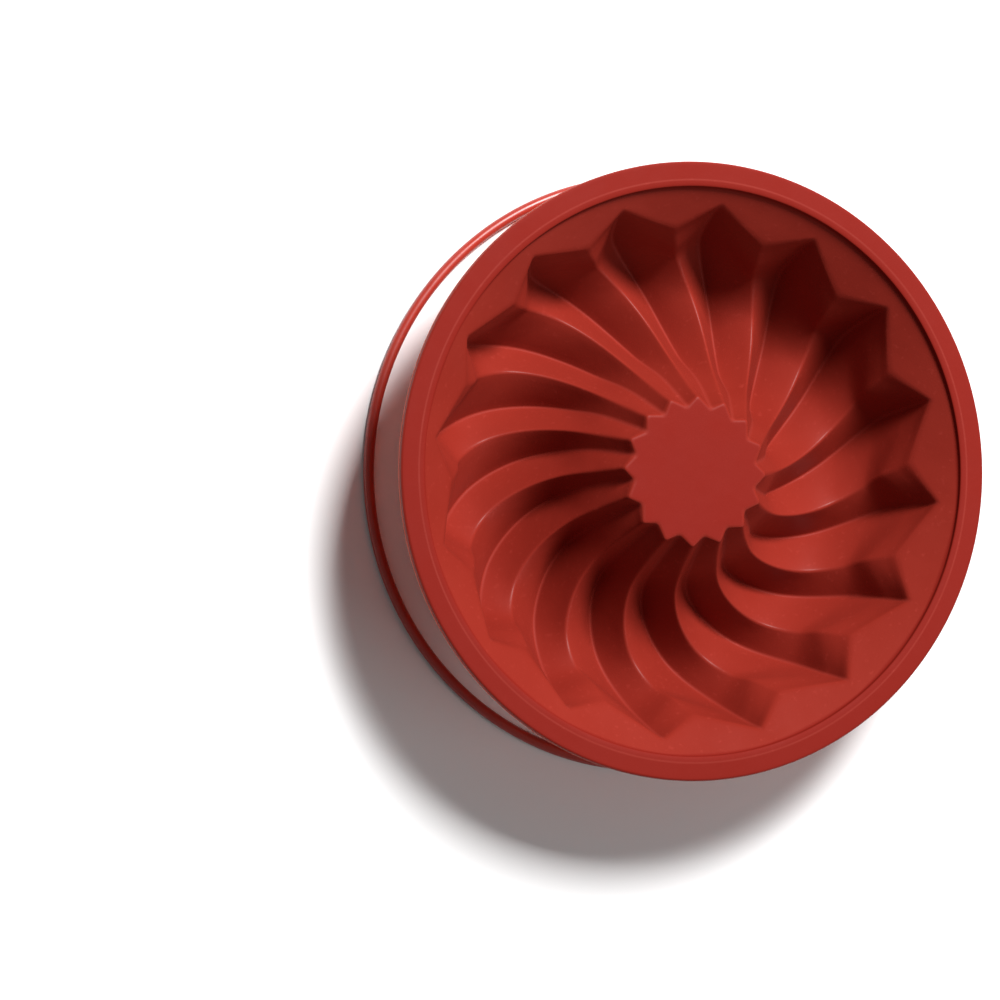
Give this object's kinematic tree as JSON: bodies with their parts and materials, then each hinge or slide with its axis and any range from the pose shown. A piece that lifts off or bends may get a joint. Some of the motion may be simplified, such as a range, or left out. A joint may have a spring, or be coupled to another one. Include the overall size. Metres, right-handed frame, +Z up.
{
  "type": "fluted bundt pan",
  "caption": "Flexible silicone ring-cake mould with a swirl of deep flutes round a closed centre cone, and the loose stiffening ring that fits up under its rim.",
  "frame": {"origin": "centre of the circle of crown ridges that the mould stands on, on the mould axis, at the lowest point", "axes": "+Z up along the mould axis, out of the open side; +X towards the tip of one flute on the flange"},
  "size_m": [0.26, 0.26, 0.063],
  "materials": {
    "silicone": "flexible terracotta-red silicone, satin outside and glossier inside",
    "ring_coating": "smooth satin red coating on a rigid round rod"
  },
  "bodies": {
    "mould": {"mould": "silicone"},
    "ring": {"support_ring": "ring_coating"}
  },
  "joints": [
    {"name": "ring_lift", "type": "slide", "parent": "mould", "child": "ring", "axis": [0, 0, 1], "range_m": [0, 0.05405]}
  ]
}
